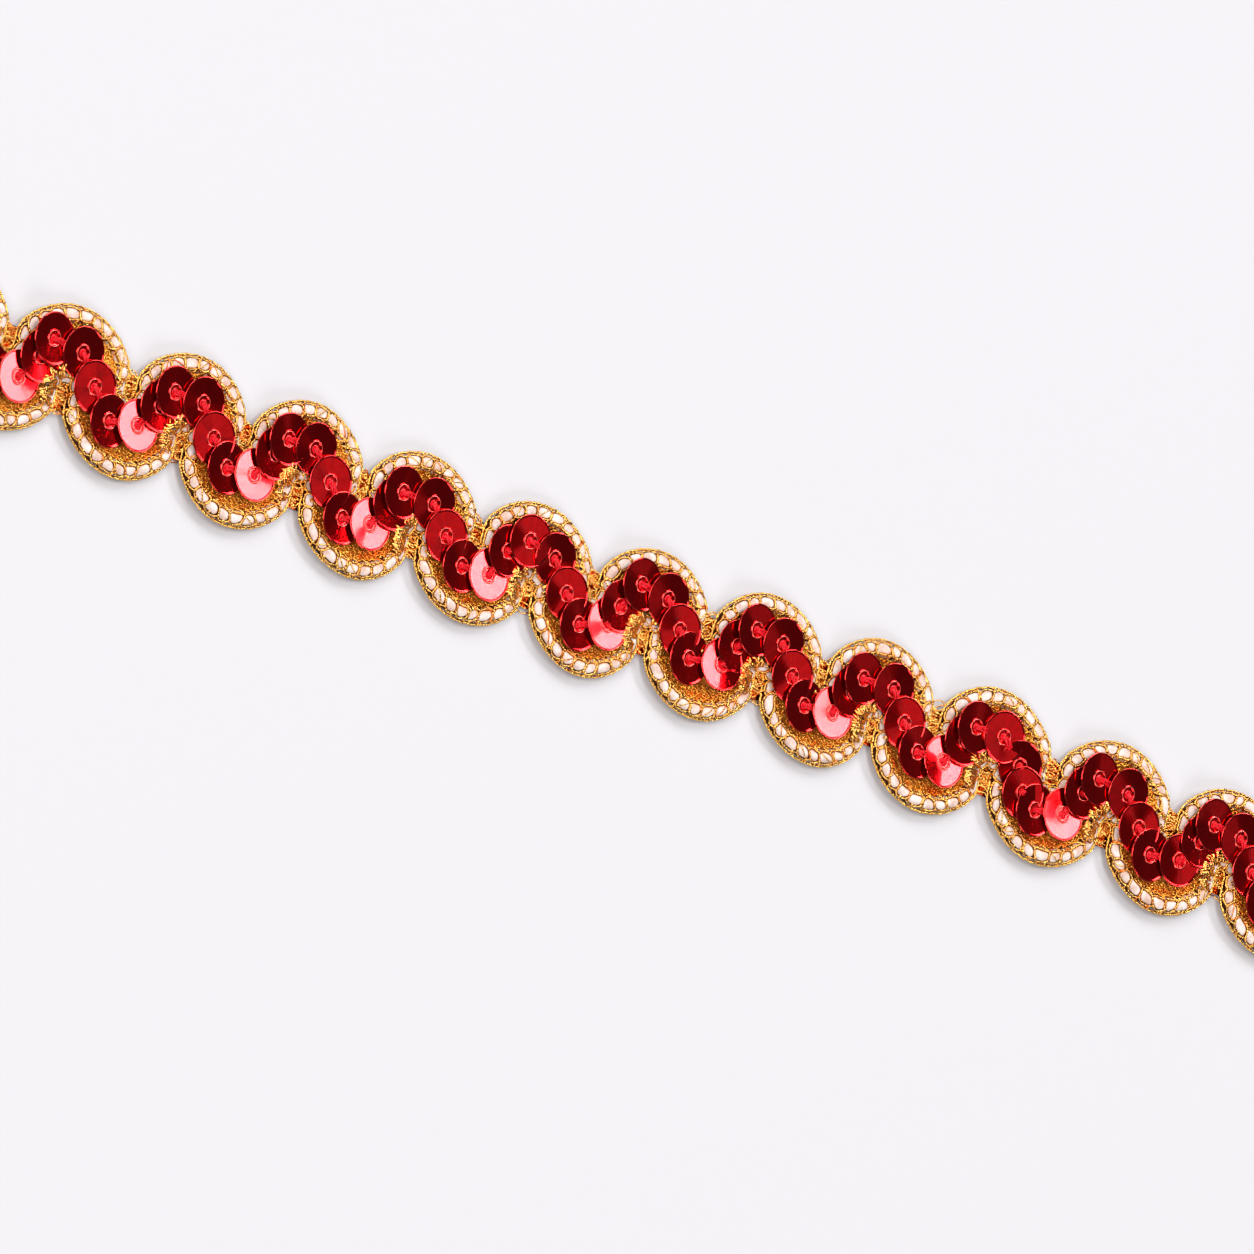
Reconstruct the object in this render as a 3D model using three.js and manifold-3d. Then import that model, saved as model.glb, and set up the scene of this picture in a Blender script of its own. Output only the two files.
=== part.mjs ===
// Sequin trim: a cut length of serpentine gold braid with a strand of overlapping red sequins
// sewn along its middle, lying flat. Millimetres, +Z up. The trim runs along X, its underside
// lies at Z = 0, and the origin is at the middle of the underside.
import * as THREE from "three";
import { mergeVertices } from "three/addons/utils/BufferGeometryUtils.js";
import Module from "manifold-3d";

// ---------- driving dimensions ----------
const WAVE_LENGTH = 17.15; // one full wave of the braid along the trim
const WAVES = 12; // whole waves in the cut length
const TRIM_WIDTH = 16.7; // outer edge of an upper lobe to outer edge of a lower one
const CORD_WIDTH = 2.45; // edge cord, seen from above
const CORD_HEIGHT = 2.0; // edge cord on a lobe, slightly flattened
const TURN_HEIGHT = 1.5; // edge cord where it turns tightly under the sequins
const GROUND_HEIGHT = 0.85; // gold ground between the two edge cords
const LOBE_RADIUS = 8.2; // centre line of the edge cord round a lobe
const TURN_RADIUS = 1.8; // centre line of the edge cord round the foot of a notch
const TURN_LEVEL = 1.375; // distance of a turn's centre from the middle of the trim
const LEG_TOP = 3.3; // where two neighbouring lobes start to lie side by side
const ARC_STEPS = 4; // facets round half a lobe, and round half a turn
const LEG_STEPS = 2; // facets along a leg

const SEQUIN_DIAMETER = 6.0;
const SEQUIN_THICKNESS = 0.3; // disc with its thread and foil edge
const SEQUIN_LEVEL = 2.42; // height of a disc's centre
const SEQUIN_LEAN = 3.4; // degrees: the back edge of each disc lies on the disc before it
const SEQUIN_SIDES = 10;

// Cross-section of an edge cord and its share of the ground. out_mm is measured from the
// cord's centre line, away from the ground; level is a share of the cord's height.
const CORD_SECTION = [
  { name: "foot", out_mm: 0.75, level: 0.0 },
  { name: "side", out_mm: 1.22, level: 0.4 },
  { name: "crown_outer", out_mm: 0.65, level: 1.0 },
  { name: "crown_inner", out_mm: -0.45, level: 1.0 },
  { name: "ground", out_mm: -1.2, level: null },
];

// How far each wave lies off the even pattern, in mm: the upper lobe of that wave, and the
// lower lobe half a wave later.
const UNEVEN = [
  { wave: -1, up_along: 0.0, up_across: 0.0, low_along: 0.0, low_across: 0.0 },
  { wave: 0, up_along: 0.56, up_across: -0.02, low_along: 0.67, low_across: 0.07 },
  { wave: 1, up_along: 0.58, up_across: -0.01, low_along: 0.0, low_across: -0.08 },
  { wave: 2, up_along: 0.25, up_across: 0.18, low_along: 0.76, low_across: -0.1 },
  { wave: 3, up_along: -0.13, up_across: -0.23, low_along: 0.21, low_across: 0.16 },
  { wave: 4, up_along: -0.36, up_across: -0.45, low_along: 0.25, low_across: -0.36 },
  { wave: 5, up_along: -0.22, up_across: -0.18, low_along: -0.18, low_across: 0.09 },
  { wave: 6, up_along: -0.5, up_across: 0.19, low_along: -0.08, low_across: 0.38 },
  { wave: 7, up_along: -1.04, up_across: 0.37, low_along: -0.83, low_across: 0.24 },
  { wave: 8, up_along: -0.95, up_across: 0.3, low_along: -0.2, low_across: -0.15 },
  { wave: 9, up_along: 0.31, up_across: -0.07, low_along: 0.67, low_across: -0.05 },
  { wave: 10, up_along: 0.3, up_across: -0.1, low_along: 0.3, low_across: 0.0 },
  { wave: 11, up_along: 0.0, up_across: 0.0, low_along: 0.0, low_across: 0.0 },
];

// Places of the six sequins of one wave, from the axis of its upper lobe, in mm.
const SEQUINS = [
  { name: "crest_first", along: -3.4, across: 3.2 },
  { name: "crest_second", along: 0.86, across: 3.15 },
  { name: "down", along: 3.57, across: 0.15 },
  { name: "trough_first", along: 6.35, across: -2.55 },
  { name: "trough_second", along: 10.4, across: -1.98 },
  { name: "up", along: 12.4, across: 1.1 },
];

// How far along and across each wave's sequins are sewn from those places, in mm.
const SEWN = [
  { wave: 0, crest_first: [-0.4, 0.2], crest_second: [-0.4, 0.1], down: [-0.4, 0], trough_first: [-0.2, -0.2], trough_second: [-0.4, 0.1], up: [0, 0] },
  { wave: 1, crest_first: [0, 0], crest_second: [-0.1, 0.1], down: [0, 0], trough_first: [0.2, 0.2], trough_second: [0, 0], up: [0, 0] },
  { wave: 2, crest_first: [-0.3, -0.1], crest_second: [-0.6, 0.1], down: [-0.4, 0.4], trough_first: [-0.4, -0.1], trough_second: [-0.6, 0], up: [0, 0] },
  { wave: 3, crest_first: [-0.3, -0.4], crest_second: [0, -0.2], down: [0, -0.1], trough_first: [0.3, 0.1], trough_second: [0.2, -0.2], up: [0.1, 0.3] },
  { wave: 4, crest_first: [1.3, 0.3], crest_second: [1, -0.4], down: [1, -0.5], trough_first: [0.8, -0.5], trough_second: [0.5, 0.1], up: [-0.3, -0.6] },
  { wave: 5, crest_first: [0.5, 0.5], crest_second: [0.4, 0.2], down: [0.3, 0.3], trough_first: [-0.2, 0.4], trough_second: [0.4, 0.5], up: [0, 0] },
  { wave: 6, crest_first: [0.6, 0.4], crest_second: [0.4, 0.1], down: [0, 0], trough_first: [-0.3, 0.1], trough_second: [-0.1, 0], up: [0, 0] },
  { wave: 7, crest_first: [-0.2, -0.2], crest_second: [0.2, 0], down: [0.1, 0], trough_first: [0.1, 0.2], trough_second: [0, -0.1], up: [0, 0] },
  { wave: 8, crest_first: [-0.3, -0.3], crest_second: [-0.4, 0], down: [-0.1, 0.7], trough_first: [0.3, -0.4], trough_second: [0, -0.1], up: [0, 0] },
  { wave: 9, crest_first: [0, 0], crest_second: [0.1, -0.3], down: [0, -0.4], trough_first: [-0.4, 0], trough_second: [-0.3, 0.1], up: [0, 0] },
  { wave: 10, crest_first: [-0.1, 0.3], crest_second: [-0.1, 0.1], down: [0, 0], trough_first: [0, 0], trough_second: [0, 0], up: [0, 0] },
];

// ---------- the even pattern ----------
const FIRST_WAVE = UNEVEN[0].wave;
const LAST_WAVE = FIRST_WAVE + WAVES;
const MIDDLE_WAVE = (FIRST_WAVE + LAST_WAVE) / 2;
const HALF_WAVE = WAVE_LENGTH / 2;
const CREST = TRIM_WIDTH / 2 - CORD_WIDTH / 2; // cord's centre line at the top of a lobe
const LOBE_CENTRE = CREST - LOBE_RADIUS; // centre of the lobe's arc, across the trim
const LEG_X = HALF_WAVE - TURN_RADIUS; // a leg's distance from the lobe's axis
const LOBE_ANGLE = Math.asin(LEG_X / LOBE_RADIUS); // half the angle of the lobe's arc

const mix = (a, b, t) => a + (b - a) * t;

// Half an upper-lobe cord, from the crest of a lobe (t = 0) down its leg to the foot of the
// notch (t = steps): position, unit vector away from the ground, and height at each station.
function lobeHalf() {
  const stations = [];
  for (let i = 0; i <= ARC_STEPS; i++) {
    const a = (LOBE_ANGLE * i) / ARC_STEPS;
    stations.push({
      x: LOBE_RADIUS * Math.sin(a),
      y: LOBE_CENTRE + LOBE_RADIUS * Math.cos(a),
      nx: Math.sin(a),
      ny: Math.cos(a),
      height: mix(CORD_HEIGHT, (CORD_HEIGHT + TURN_HEIGHT) / 2, i / ARC_STEPS),
    });
  }
  for (let i = 1; i <= LEG_STEPS; i++)
    stations.push({
      x: LEG_X,
      y: mix(LEG_TOP, TURN_LEVEL, i / LEG_STEPS),
      nx: 1,
      ny: 0,
      height: mix((CORD_HEIGHT + TURN_HEIGHT) / 2, TURN_HEIGHT, i / LEG_STEPS),
    });
  for (let i = 1; i <= ARC_STEPS; i++) {
    const a = (Math.PI / 2) * (1 - i / ARC_STEPS);
    stations.push({
      x: HALF_WAVE - TURN_RADIUS * Math.sin(a),
      y: TURN_LEVEL - TURN_RADIUS * Math.cos(a),
      nx: Math.sin(a),
      ny: Math.cos(a),
      height: TURN_HEIGHT,
    });
  }
  return stations;
}

// Both edge cords over one wave. The lower cord is the upper one turned half round, so where
// one runs round a lobe the other makes its tight turn.
function waveStations() {
  const upperHalf = lobeHalf();
  const last = upperHalf.length - 1;
  const lowerHalf = upperHalf.map((_, i) => {
    const s = upperHalf[last - i];
    return { x: HALF_WAVE - s.x, y: -s.y, nx: -s.nx, ny: -s.ny, height: s.height };
  });
  const mirrored = (s) => ({ ...s, x: WAVE_LENGTH - s.x, nx: -s.nx });
  const pairs = upperHalf.map((s, i) => ({ upper: s, lower: lowerHalf[i] }));
  for (let i = last - 1; i > 0; i--)
    pairs.push({ upper: mirrored(upperHalf[i]), lower: mirrored(lowerHalf[i]) });
  return pairs;
}

// ---------- the unevenness of a handmade-looking braid ----------
function eased(rows, key, wave) {
  const i = Math.floor(wave);
  const t = wave - i;
  const at = (n) => rows[Math.min(Math.max(n - FIRST_WAVE, 0), rows.length - 1)][key];
  return mix(at(i), at(i + 1), (1 - Math.cos(Math.PI * t)) / 2);
}

function place(x, y) {
  const wave = x / WAVE_LENGTH;
  const up = Math.min(Math.max((y + CREST) / (2 * CREST), 0), 1);
  return [
    x - MIDDLE_WAVE * WAVE_LENGTH +
      mix(eased(UNEVEN, "low_along", wave - 0.5), eased(UNEVEN, "up_along", wave), up),
    y + mix(eased(UNEVEN, "low_across", wave - 0.5), eased(UNEVEN, "up_across", wave), up),
  ];
}

// ---------- braid ----------
function braidGeometry() {
  const wave = waveStations();
  const rings = [];
  for (let w = FIRST_WAVE; w < LAST_WAVE; w++)
    wave.forEach((pair) => rings.push({ pair, shift: w * WAVE_LENGTH }));
  rings.push({ pair: wave[0], shift: LAST_WAVE * WAVE_LENGTH });

  const positions = [];
  const ringSize = 2 * CORD_SECTION.length;
  const addPoint = (station, row, shift) => {
    const [x, y] = place(
      station.x + shift + station.nx * row.out_mm,
      station.y + station.ny * row.out_mm,
    );
    positions.push(x, y, row.level === null ? GROUND_HEIGHT : row.level * station.height);
  };
  for (const { pair, shift } of rings) {
    for (const row of CORD_SECTION) addPoint(pair.upper, row, shift);
    for (const row of [...CORD_SECTION].reverse()) addPoint(pair.lower, row, shift);
  }

  const faces = [];
  for (let r = 0; r + 1 < rings.length; r++)
    for (let i = 0; i < ringSize; i++) {
      const j = (i + 1) % ringSize;
      const a = r * ringSize + i, b = r * ringSize + j;
      const c = a + ringSize, d = b + ringSize;
      faces.push(a, b, c, b, d, c);
    }
  const capOutline = (r) =>
    Array.from({ length: ringSize }, (_, i) => {
      const p = 3 * (r * ringSize + i);
      return new THREE.Vector2(positions[p + 1], positions[p + 2]);
    });
  for (const [r, turn] of [[0, false], [rings.length - 1, true]])
    for (const [a, b, c] of THREE.ShapeUtils.triangulateShape(capOutline(r), [])) {
      const o = r * ringSize;
      if (turn) faces.push(o + a, o + b, o + c);
      else faces.push(o + a, o + c, o + b);
    }
  return new THREE.BufferGeometry()
    .setAttribute("position", new THREE.Float32BufferAttribute(positions, 3))
    .setIndex(faces);
}

// ---------- sequin strand ----------
const wasm = await Module();
wasm.setup();

function toSolid(geometry) {
  const g = geometry.clone();
  for (const name of ["normal", "uv"]) g.deleteAttribute(name);
  const m = mergeVertices(g, 1e-4);
  return new wasm.Manifold(
    new wasm.Mesh({
      numProp: 3,
      vertProperties: new Float32Array(m.attributes.position.array),
      triVerts: new Uint32Array(m.index.array),
    }),
  );
}

function toGeometry(solid) {
  const m = solid.getMesh();
  return new THREE.BufferGeometry()
    .setAttribute("position", new THREE.Float32BufferAttribute(m.vertProperties, 3))
    .setIndex(new THREE.BufferAttribute(m.triVerts, 1));
}

function sequinCentres() {
  const centres = [];
  const reach = SEQUIN_DIAMETER / 2 - 0.5;
  for (let w = FIRST_WAVE; w <= LAST_WAVE; w++)
    for (const s of SEQUINS) {
      const x = w * WAVE_LENGTH + s.along;
      if (x - reach < FIRST_WAVE * WAVE_LENGTH || x + reach > LAST_WAVE * WAVE_LENGTH) continue;
      const [dx, dy] = SEWN.find((row) => row.wave === w)?.[s.name] ?? [0, 0];
      const [px, py] = place(x + dx, s.across + dy);
      centres.push(new THREE.Vector3(px, py, SEQUIN_LEVEL));
    }
  return centres;
}

function strandGeometry() {
  const centres = sequinCentres();
  let strand = null;
  centres.forEach((c, i) => {
    const next = centres[i + 1] ?? c.clone().multiplyScalar(2).sub(centres[i - 1]);
    const heading = Math.atan2(next.y - c.y, next.x - c.x);
    const disc = new THREE.CylinderGeometry(
      SEQUIN_DIAMETER / 2, SEQUIN_DIAMETER / 2, SEQUIN_THICKNESS, SEQUIN_SIDES, 1,
    );
    disc.rotateX(Math.PI / 2);
    disc.rotateY(THREE.MathUtils.degToRad(SEQUIN_LEAN));
    disc.rotateZ(heading);
    disc.translate(c.x, c.y, c.z);
    strand = strand ? strand.add(toSolid(disc)) : toSolid(disc);
  });
  return toGeometry(strand);
}

// ---------- the part ----------
const group = new THREE.Group();

const braid = new THREE.Mesh(
  braidGeometry(),
  new THREE.MeshStandardMaterial({ color: 0xc9962f, roughness: 0.38, metalness: 0.75 }),
);
braid.name = "braid";
group.add(braid);

const strand = new THREE.Mesh(
  strandGeometry(),
  new THREE.MeshStandardMaterial({ color: 0x8c0610, roughness: 0.18, metalness: 0.9 }),
);
strand.name = "sequin_strand";
group.add(strand);

export default group;
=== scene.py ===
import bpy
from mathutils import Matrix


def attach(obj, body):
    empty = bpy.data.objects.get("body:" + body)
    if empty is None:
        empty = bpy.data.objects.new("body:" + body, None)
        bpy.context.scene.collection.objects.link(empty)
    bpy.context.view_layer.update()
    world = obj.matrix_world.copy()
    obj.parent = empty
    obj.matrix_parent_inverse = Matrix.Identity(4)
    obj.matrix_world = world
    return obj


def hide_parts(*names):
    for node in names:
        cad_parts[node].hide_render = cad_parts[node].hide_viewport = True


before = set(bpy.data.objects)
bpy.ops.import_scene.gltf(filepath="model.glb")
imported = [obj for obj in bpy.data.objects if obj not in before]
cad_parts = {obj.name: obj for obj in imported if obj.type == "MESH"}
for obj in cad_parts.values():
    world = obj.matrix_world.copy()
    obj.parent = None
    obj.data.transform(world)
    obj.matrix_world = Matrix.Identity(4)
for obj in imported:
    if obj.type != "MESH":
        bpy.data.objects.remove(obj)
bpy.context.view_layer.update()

import math

import bpy
import numpy as np
from mathutils import Matrix, Vector

MM = 0.001
rng = np.random.default_rng(2611)

# ------------------------------------------------------------------ sizes, in mm
WAVE = 17.15
FIRST, LAST = -1, 11
MIDDLE = (FIRST + LAST) / 2
TRIM_WIDTH = 16.7
CORD_WIDTH = 2.45
LOBE_R = 8.2
TURN_R = 1.8
TURN_Y = 1.375
HALF = WAVE / 2
CREST = TRIM_WIDTH / 2 - CORD_WIDTH / 2
LOBE_Y = CREST - LOBE_R
LEG_X = HALF - TURN_R
LOBE_ANGLE = math.asin(LEG_X / LOBE_R)
ARC_L = LOBE_R * LOBE_ANGLE
ARC_END_Y = LOBE_Y + LOBE_R * math.cos(LOBE_ANGLE)
LEG_L = ARC_END_Y - TURN_Y
QUARTER_L = TURN_R * math.pi / 2
HALF_L = ARC_L + LEG_L + QUARTER_L

# Each wave's distance from the even pattern, as in the solids.
UNEVEN = {
    "up_along": [0, 0.56, 0.58, 0.25, -0.13, -0.36, -0.22, -0.5, -1.04, -0.95, 0.31, 0.3, 0],
    "up_across": [0, -0.02, -0.01, 0.18, -0.23, -0.45, -0.18, 0.19, 0.37, 0.3, -0.07, -0.1, 0],
    "low_along": [0, 0.67, 0, 0.76, 0.21, 0.25, -0.18, -0.08, -0.83, -0.2, 0.67, 0.3, 0],
    "low_across": [0, 0.07, -0.08, -0.1, 0.16, -0.36, 0.09, 0.38, 0.24, -0.15, -0.05, 0, 0],
}


def eased(key, wave):
    rows = np.array(UNEVEN[key], float)
    i = np.floor(wave).astype(int)
    t = wave - i
    a = rows[np.clip(i - FIRST, 0, len(rows) - 1)]
    b = rows[np.clip(i + 1 - FIRST, 0, len(rows) - 1)]
    return a + (b - a) * (1 - np.cos(np.pi * t)) / 2


def place(x, y):
    wave = np.asarray(x, float) / WAVE
    up = np.clip((y + CREST) / (2 * CREST), 0, 1)
    la, ua = eased("low_along", wave - 0.5), eased("up_along", wave)
    lc, uc = eased("low_across", wave - 0.5), eased("up_across", wave)
    return x - MIDDLE * WAVE + la + (ua - la) * up, y + lc + (uc - lc) * up


def pattern(t):
    """The upper cord's centre line, t in waves: x, y and the share of its full height."""
    w = np.floor(t)
    f = t - w
    s = np.where(f <= 0.5, f, 1 - f) * 2 * HALF_L
    a = s / LOBE_R
    x1, y1 = LOBE_R * np.sin(a), LOBE_Y + LOBE_R * np.cos(a)
    y2 = ARC_END_Y - (s - ARC_L)
    b = math.pi / 2 - (s - ARC_L - LEG_L) / TURN_R
    x3, y3 = HALF - TURN_R * np.sin(b), TURN_Y - TURN_R * np.cos(b)
    on_arc, on_leg = s <= ARC_L, s <= ARC_L + LEG_L
    x = np.where(on_arc, x1, np.where(on_leg, LEG_X, x3))
    y = np.where(on_arc, y1, np.where(on_leg, y2, y3))
    h = 1 - 0.125 * np.clip(s / ARC_L, 0, 1) - 0.125 * np.clip((s - ARC_L) / LEG_L, 0, 1)
    return np.where(f <= 0.5, x, WAVE - x) + w * WAVE, y, h


def smooth(a, sigma):
    k = np.arange(-4 * int(math.ceil(sigma)), 4 * int(math.ceil(sigma)) + 1)
    g = np.exp(-k * k / (2 * sigma * sigma))
    g /= g.sum()
    pad = len(k) // 2
    return np.convolve(np.pad(a, pad, mode="edge"), g, mode="valid")


def wander(s, scale, seed, octaves=2):
    """A smooth uneven curve over s, about -1 to 1."""
    r = np.random.default_rng(seed)
    out = np.zeros_like(s, dtype=float)
    for o in range(octaves):
        step = scale / 2**o
        n = int((s.max() - s.min()) / step) + 6
        knots = r.uniform(-1, 1, n)
        u = (s - s.min()) / step + 1
        i = np.floor(u).astype(int)
        f = u - i
        f = f * f * (3 - 2 * f)
        out += (knots[i] * (1 - f) + knots[i + 1] * f) / 1.6**o
    return out / 1.4


class Cord:
    """One edge cord: its centre line, outward normal and height along its own length."""

    def __init__(self, upper):
        per = 256
        t = np.arange((FIRST - 1) * per, (LAST + 1) * per + 1) / per
        if upper:
            x, y, h = pattern(t)
        else:
            x, y, h = pattern(t + 0.5)
            x, y = x - HALF, -y
        x, y = smooth(x - t * WAVE, 4) + t * WAVE, smooth(y, 4)
        h = smooth(h, 12)
        keep = slice(per, len(t) - per)
        t, x, y, h = t[keep], x[keep], y[keep], h[keep]
        x, y = place(x, y)
        step = np.hypot(np.diff(x), np.diff(y))
        self.s = np.concatenate([[0], np.cumsum(step)])
        self.length = self.s[-1]
        tx, ty = np.gradient(x, self.s), np.gradient(y, self.s)
        n = np.hypot(tx, ty)
        tx, ty = tx / n, ty / n
        side = 1 if upper else -1
        self.x, self.y, self.h, self.t = x, y, h, t
        self.tx, self.ty = tx, ty
        self.nx, self.ny = -ty * side, tx * side
        self.side = side

    def at(self, s):
        f = lambda a: np.interp(s, self.s, a)
        nx, ny = f(self.nx), f(self.ny)
        n = np.hypot(nx, ny)
        return f(self.x), f(self.y), nx / n, ny / n, f(self.h)

    def s_of(self, t):
        return np.interp(t, self.t, self.s)

    def point(self, s, phi, lift=0.0, low=0.05):
        """A point on the cord at angle phi from its top (outwards positive), lift above the core."""
        x, y, nx, ny, h = self.at(s)
        rh = 0.95 - 0.08 * (1 - h) / 0.25 + lift
        rv = 0.82 * h + lift
        sn, cs = np.sin(phi), np.cos(phi)
        z = np.maximum(0.98 * h + rv * cs, low)
        p = np.stack([x + nx * rh * sn, y + ny * rh * sn, z], -1)
        r = np.stack([nx * sn, ny * sn, cs], -1)
        return p, r

    def beside(self, s, out, z):
        """A point at a distance out from the centre line (negative: towards the ground), at height z."""
        x, y, nx, ny, h = self.at(s)
        return np.stack([x + nx * out, y + ny * out, np.broadcast_to(z, np.shape(x))], -1)


upper, lower = Cord(True), Cord(False)
CORDS = {"upper": upper, "lower": lower}


# ------------------------------------------------------------------ mesh helpers
class Builder:
    """Collects swept strands and discs as arrays, for one joined mesh."""

    def __init__(self):
        self.v, self.q, self.tri, self.a, self.n = [], [], [], [], 0

    def add(self, verts, quads=None, tris=None, data=None):
        self.v.append(np.asarray(verts, float))
        if quads is not None and len(quads):
            self.q.append(np.asarray(quads, int) + self.n)
        if tris is not None and len(tris):
            self.tri.append(np.asarray(tris, int) + self.n)
        if data is None:
            data = np.zeros((len(verts), 3))
        self.a.append(np.broadcast_to(np.asarray(data, float), (len(verts), 3)))
        self.n += len(verts)

    def strand(self, p, r, w, h, sides=4, tone=0.0, turn=0.0):
        """A strand along p, w wide and h thick (half sizes), its flat side facing r."""
        n = len(p)
        d = np.gradient(p, axis=0)
        d /= np.linalg.norm(d, axis=1, keepdims=True) + 1e-12
        n1 = np.cross(d, r)
        n1 /= np.linalg.norm(n1, axis=1, keepdims=True) + 1e-12
        n2 = np.cross(n1, d)
        a = 2 * np.pi * (np.arange(sides) + 0.5) / sides + turn
        w = np.broadcast_to(w, (n,))[:, None, None]
        h = np.broadcast_to(h, (n,))[:, None, None]
        ring = (
            p[:, None, :]
            + n1[:, None, :] * w * np.cos(a)[None, :, None]
            + n2[:, None, :] * h * np.sin(a)[None, :, None]
        )
        along = np.concatenate([[0], np.cumsum(np.linalg.norm(np.diff(p, axis=0), axis=1))])
        data = np.zeros((n, sides, 3))
        data[..., 0] = along[:, None]
        data[..., 1] = (a / (2 * np.pi))[None, :]
        data[..., 2] = tone
        i = np.arange(n - 1)[:, None] * sides
        j = np.arange(sides)[None, :]
        k = (j + 1) % sides
        quads = np.stack([i + j, i + k, i + sides + k, i + sides + j], -1).reshape(-1, 4)
        caps = []
        for q in range(1, sides - 1):
            caps.append([0, q + 1, q])
            e = (n - 1) * sides
            caps.append([e, e + q, e + q + 1])
        self.add(ring.reshape(-1, 3), quads, caps, data.reshape(-1, 3))

    def make(self, name, material, smooth_shade=True):
        v = np.concatenate(self.v) * MM
        q = np.concatenate(self.q) if self.q else np.zeros((0, 4), int)
        t = np.concatenate(self.tri) if self.tri else np.zeros((0, 3), int)
        mesh = bpy.data.meshes.new(name)
        mesh.vertices.add(len(v))
        mesh.vertices.foreach_set("co", v.astype(np.float32).ravel())
        loops = np.concatenate([q.ravel(), t.ravel()])
        mesh.loops.add(len(loops))
        mesh.loops.foreach_set("vertex_index", loops.astype(np.int32))
        starts = np.concatenate([np.arange(len(q)) * 4, len(q) * 4 + np.arange(len(t)) * 3])
        mesh.polygons.add(len(q) + len(t))
        mesh.polygons.foreach_set("loop_start", starts.astype(np.int32))
        mesh.update(calc_edges=True)
        mesh.validate()
        data = np.concatenate(self.a).astype(np.float32)
        at = mesh.attributes.new("strand", "FLOAT_VECTOR", "POINT")
        at.data.foreach_set("vector", data.ravel())
        if smooth_shade:
            mesh.polygons.foreach_set("use_smooth", np.ones(len(mesh.polygons), bool))
        obj = bpy.data.objects.new(name, mesh)
        bpy.context.scene.collection.objects.link(obj)
        mesh.materials.append(material)
        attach(obj, "root")
        return obj


# ------------------------------------------------------------------ materials
def new_material(name):
    m = bpy.data.materials.new(name)
    m.use_nodes = True
    nt = m.node_tree
    bsdf = nt.nodes["Principled BSDF"]
    return m, nt, bsdf


def node(nt, kind, **values):
    n = nt.nodes.new(kind)
    for k, v in values.items():
        setattr(n, k, v)
    return n


def attribute(nt):
    a = node(nt, "ShaderNodeAttribute", attribute_name="strand")
    s = node(nt, "ShaderNodeSeparateXYZ")
    nt.links.new(a.outputs["Vector"], s.inputs[0])
    return a, s


def ramp(nt, source, stops):
    r = node(nt, "ShaderNodeValToRGB")
    e = r.color_ramp.elements
    while len(e) < len(stops):
        e.new(0.5)
    for el, (pos, col) in zip(e, stops):
        el.position = pos
        el.color = (*col, 1)
    nt.links.new(source, r.inputs[0])
    return r


def noise(nt, vector, scale, detail=2.0, rough=0.5):
    n = node(nt, "ShaderNodeTexNoise")
    n.inputs["Scale"].default_value = scale
    n.inputs["Detail"].default_value = detail
    n.inputs["Roughness"].default_value = rough
    if vector is not None:
        nt.links.new(vector, n.inputs["Vector"])
    return n


def mathn(nt, op, a, b=None, clamp=False):
    n = node(nt, "ShaderNodeMath", operation=op, use_clamp=clamp)
    for i, v in enumerate((a, b)):
        if v is None:
            continue
        if isinstance(v, (int, float)):
            n.inputs[i].default_value = v
        else:
            nt.links.new(v, n.inputs[i])
    return n.outputs[0]


def mixc(nt, fac, a, b):
    n = node(nt, "ShaderNodeMix", data_type="RGBA")
    for sock, v in ((n.inputs[0], fac), (n.inputs[6], a), (n.inputs[7], b)):
        if isinstance(v, (int, float)):
            sock.default_value = v
        elif isinstance(v, tuple):
            sock.default_value = (*v, 1)
        else:
            nt.links.new(v, sock)
    return n.outputs[2]


def gold_material(name, light, deep, rough, metal=1.0):
    """Lurex: metal foil yarn, its tone uneven along and between strands, with a fine ply bump."""
    m, nt, b = new_material(name)
    a, s = attribute(nt)
    geo = node(nt, "ShaderNodeTexCoord")
    big = noise(nt, geo.outputs["Object"], 420, 2)
    fine = noise(nt, geo.outputs["Object"], 5200, 2)
    fac = mathn(nt, "ADD", mathn(nt, "MULTIPLY", big.outputs[0], 0.9), mathn(nt, "MULTIPLY", s.outputs[2], 0.5))
    fac = mathn(nt, "ADD", fac, mathn(nt, "MULTIPLY", fine.outputs[0], 0.35))
    r = ramp(nt, fac, [(0.50, deep), (0.78, light), (1.25 / 1.3, tuple(min(1, c * 1.12) for c in light))])
    nt.links.new(r.outputs[0], b.inputs["Base Color"])
    b.inputs["Metallic"].default_value = metal
    b.inputs["Roughness"].default_value = rough
    wave = mathn(nt, "SINE", mathn(nt, "ADD", mathn(nt, "MULTIPLY", s.outputs[0], 2 * math.pi / 0.34),
                                  mathn(nt, "MULTIPLY", s.outputs[1], 2 * math.pi)))
    height = mathn(nt, "ADD", mathn(nt, "MULTIPLY", wave, 0.5), mathn(nt, "MULTIPLY", fine.outputs[0], 1.2))
    bump = node(nt, "ShaderNodeBump")
    bump.inputs["Strength"].default_value = 0.55
    bump.inputs["Distance"].default_value = 0.00004
    nt.links.new(height, bump.inputs["Height"])
    nt.links.new(bump.outputs[0], b.inputs["Normal"])
    return m


GOLD = gold_material("gold_yarn", (1.0, 0.50, 0.125), (0.93, 0.14, 0.010), 0.12)
GOLD_RIM = gold_material("gold_rim_yarn", (1.0, 0.50, 0.115), (0.95, 0.16, 0.011), 0.12)
GOLD_DENSE = gold_material("gold_ground_yarn", (1.0, 0.41, 0.050), (1.0, 0.18, 0.010), 0.20, 0.80)


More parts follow.
